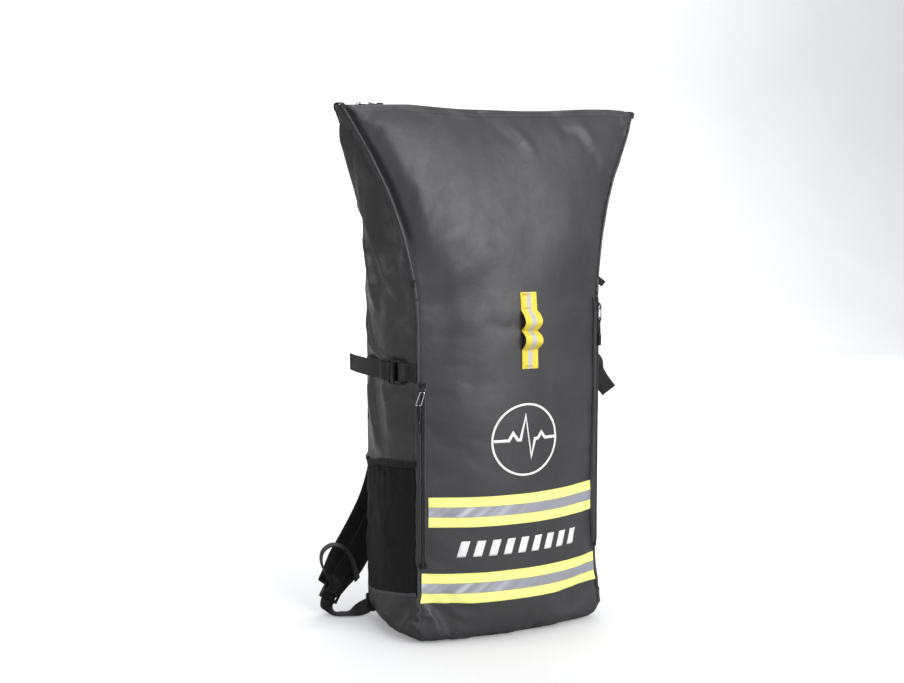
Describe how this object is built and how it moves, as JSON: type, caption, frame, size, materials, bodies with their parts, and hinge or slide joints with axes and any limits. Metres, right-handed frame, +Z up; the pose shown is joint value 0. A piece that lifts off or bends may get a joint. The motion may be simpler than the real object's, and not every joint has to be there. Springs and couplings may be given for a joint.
{
  "type": "roll-top rescue backpack",
  "caption": "Roll-top rescue backpack in coated tarpaulin with a folding zipped collar, side zips, reflective bands, stretch pockets and padded straps.",
  "frame": {"origin": "centre of the base, on the floor, midway between the front and back side seams", "axes": "+Z up, -Y is the front with the reflective bands, +Y the wearer's back, +X to the right when looking at the front"},
  "size_m": [0.484, 0.3019, 0.748],
  "materials": {
    "tarpaulin": "satin coated tarpaulin, soft sheen, fine weave under the coating",
    "back_fabric": "matte coated weave",
    "air_mesh": "spacer mesh with small hexagonal holes",
    "shoulder_fabric": "matte woven nylon over foam with edge binding",
    "frame_plastic": "sheet",
    "foam": "closed-cell foam",
    "lining": "thin coated lining",
    "reflective_tape": "fluorescent lime tape with a silver retroreflective stripe",
    "white_print": "screen print",
    "yellow_webbing": "ribbed webbing with a reflective centre line",
    "black_webbing": "ribbed polyamide webbing",
    "knit": "stretch knit",
    "elastic_hem": "gathered elastic binding",
    "zip_black": "coil zip on water-repellent tape",
    "dark_metal": "dark lacquered die casting",
    "wire_metal": "bright wire",
    "cord": "braided cord with heat-shrink end",
    "black_plastic": "acetal moulding, slightly glossy edges"
  },
  "bodies": {
    "pack": {"front_panel": "tarpaulin", "back_panel": "back_fabric", "side_panel_left": "tarpaulin", "side_panel_right": "tarpaulin", "base_panel": "tarpaulin", "base_board": "frame_plastic", "frame_sheet": "frame_plastic", "back_foam": "foam", "inner_sleeve": "lining", "front_pocket_liner": "lining", "back_pads": "air_mesh", "strap_yoke": "back_fabric", "lower_strap_tabs": "back_fabric", "reflective_band_lower": "reflective_tape", "reflective_band_upper": "reflective_tape", "front_badge": "white_print", "hash_print": "white_print", "daisy_chain": "yellow_webbing", "seam_loops": "black_webbing", "stretch_pocket_left": "knit", "stretch_pocket_right": "knit", "pocket_hem_left": "elastic_hem", "pocket_hem_right": "elastic_hem", "side_zip_left": "zip_black", "side_zip_right": "zip_black", "compression_anchor_left": "black_webbing", "compression_anchor_right": "black_webbing", "compression_strap_left": "black_webbing", "compression_strap_right": "black_webbing", "collar_front": "tarpaulin", "collar_gusset_left": "tarpaulin", "collar_gusset_right": "tarpaulin", "lower_webbing_left": "black_webbing", "lower_webbing_right": "black_webbing"},
    "lid": {"lid_panel": "tarpaulin"},
    "flap": {"flap_panel": "tarpaulin", "top_zip": "zip_black", "zip_end_tabs": "black_webbing"},
    "hook_strap": {"closure_strap": "black_webbing", "closure_hook": "dark_metal"},
    "top_slider": {"top_zip_slider": "dark_metal"},
    "top_link": {"top_zip_link": "wire_metal"},
    "top_pull": {"top_zip_pull": "cord"},
    "side_slider_left": {"side_zip_slider_left": "dark_metal"},
    "side_link_left": {"side_zip_link_left": "wire_metal"},
    "side_pull_left": {"side_zip_pull_left": "cord"},
    "compression_buckle_left": {"compression_lock_left": "black_plastic"},
    "compression_tail_left": {"compression_tail_left": "black_webbing"},
    "shoulder_strap_left": {"shoulder_pad_left": "shoulder_fabric"},
    "shoulder_buckle_left": {"shoulder_lock_left": "black_plastic", "shoulder_tail_left": "black_webbing"},
    "side_slider_right": {"side_zip_slider_right": "dark_metal"},
    "side_link_right": {"side_zip_link_right": "wire_metal"},
    "side_pull_right": {"side_zip_pull_right": "cord"},
    "compression_buckle_right": {"compression_lock_right": "black_plastic"},
    "compression_tail_right": {"compression_tail_right": "black_webbing"},
    "shoulder_strap_right": {"shoulder_pad_right": "shoulder_fabric"},
    "shoulder_buckle_right": {"shoulder_lock_right": "black_plastic", "shoulder_tail_right": "black_webbing"},
    "haul": {"haul_loop": "black_webbing"}
  },
  "joints": [
    {"name": "lid_fold", "type": "hinge", "parent": "pack", "child": "lid", "pos_m": [0, 0.084, 0.493], "axis": [1, 0, 0], "range_deg": [0, 58], "deforming": ["collar_front", "collar_gusset_left", "collar_gusset_right"]},
    {"name": "flap_fold", "type": "hinge", "parent": "lid", "child": "flap", "pos_m": [0, 0.0071, 0.69699], "axis": [1, 0, 0], "range_deg": [0, 72]},
    {"name": "hook_strap_swing", "type": "hinge", "parent": "flap", "child": "hook_strap", "pos_m": [0, -0.00413, 0.74096], "axis": [1, 0, 0], "range_deg": [0, 170]},
    {"name": "top_zip_slide", "type": "slide", "parent": "flap", "child": "top_slider", "axis": [1, 0, 0], "range_m": [0, 0.4]},
    {"name": "top_link_swing", "type": "hinge", "parent": "top_slider", "child": "top_link", "pos_m": [-0.205, -0.024, 0.7457], "axis": [0, -1, 0], "range_deg": [0, 130]},
    {"name": "top_pull_swing", "type": "hinge", "parent": "top_link", "child": "top_pull", "pos_m": [-0.191, -0.024, 0.7457], "axis": [0, -1, 0], "range_deg": [0, 45]},
    {"name": "side_zip_slide_left", "type": "slide", "parent": "pack", "child": "side_slider_left", "axis": [0, 0, -1], "range_m": [0, 0.228]},
    {"name": "side_link_swing_left", "type": "hinge", "parent": "side_slider_left", "child": "side_link_left", "pos_m": [-0.14357, -0.09104, 0.356], "axis": [-0.8746, 0.4848, 0], "range_deg": [0, 125]},
    {"name": "side_pull_swing_left", "type": "hinge", "parent": "side_link_left", "child": "side_pull_left", "pos_m": [-0.14357, -0.09104, 0.338], "axis": [-0.8746, 0.4848, 0], "range_deg": [0, 50]},
    {"name": "side_zip_slide_right", "type": "slide", "parent": "pack", "child": "side_slider_right", "axis": [0, 0, -1], "range_m": [0, 0.336]},
    {"name": "side_link_swing_right", "type": "hinge", "parent": "side_slider_right", "child": "side_link_right", "pos_m": [0.14357, -0.09104, 0.464], "axis": [-0.8746, -0.4848, 0], "range_deg": [0, 125]},
    {"name": "side_pull_swing_right", "type": "hinge", "parent": "side_link_right", "child": "side_pull_right", "pos_m": [0.14357, -0.09104, 0.446], "axis": [-0.8746, -0.4848, 0], "range_deg": [0, 50]},
    {"name": "compression_buckle_tilt_left", "type": "hinge", "parent": "pack", "child": "compression_buckle_left", "pos_m": [-0.15914, -0.052, 0.381], "axis": [0, 0, 1], "range_deg": [0, 25]},
    {"name": "compression_tail_pull_left", "type": "slide", "parent": "compression_buckle_left", "child": "compression_tail_left", "axis": [0.0546, 0.9982, -0.0234], "range_m": [0, 0.02]},
    {"name": "compression_buckle_tilt_right", "type": "hinge", "parent": "pack", "child": "compression_buckle_right", "pos_m": [0.15914, -0.052, 0.381], "axis": [0, 0, -1], "range_deg": [0, 25]},
    {"name": "compression_tail_pull_right", "type": "slide", "parent": "compression_buckle_right", "child": "compression_tail_right", "axis": [0.5576, -0.2013, -0.8054], "range_m": [0, 0.02]},
    {"name": "haul_loop_swing", "type": "hinge", "parent": "pack", "child": "haul", "pos_m": [0, 0.094, 0.481], "axis": [1, 0, 0], "range_deg": [-110, 10]},
    {"name": "shoulder_strap_swing_left", "type": "hinge", "parent": "pack", "child": "shoulder_strap_left", "pos_m": [-0.05, 0.099, 0.478], "axis": [1, 0, 0], "range_deg": [-2, 9]},
    {"name": "shoulder_buckle_tilt_left", "type": "hinge", "parent": "shoulder_strap_left", "child": "shoulder_buckle_left", "pos_m": [-0.1765, 0.1328, 0.0435], "axis": [-0.8601, 0, 0.5101], "range_deg": [0, 16]},
    {"name": "shoulder_strap_swing_right", "type": "hinge", "parent": "pack", "child": "shoulder_strap_right", "pos_m": [0.05, 0.099, 0.478], "axis": [1, 0, 0], "range_deg": [-2, 9]},
    {"name": "shoulder_buckle_tilt_right", "type": "hinge", "parent": "shoulder_strap_right", "child": "shoulder_buckle_right", "pos_m": [0.1765, 0.1328, 0.0435], "axis": [-0.8601, 0, -0.5101], "range_deg": [0, 16]}
  ],
  "couplings": [
    {"joint": "flap_fold", "follows": "lid_fold", "ratio": 1.24}
  ]
}
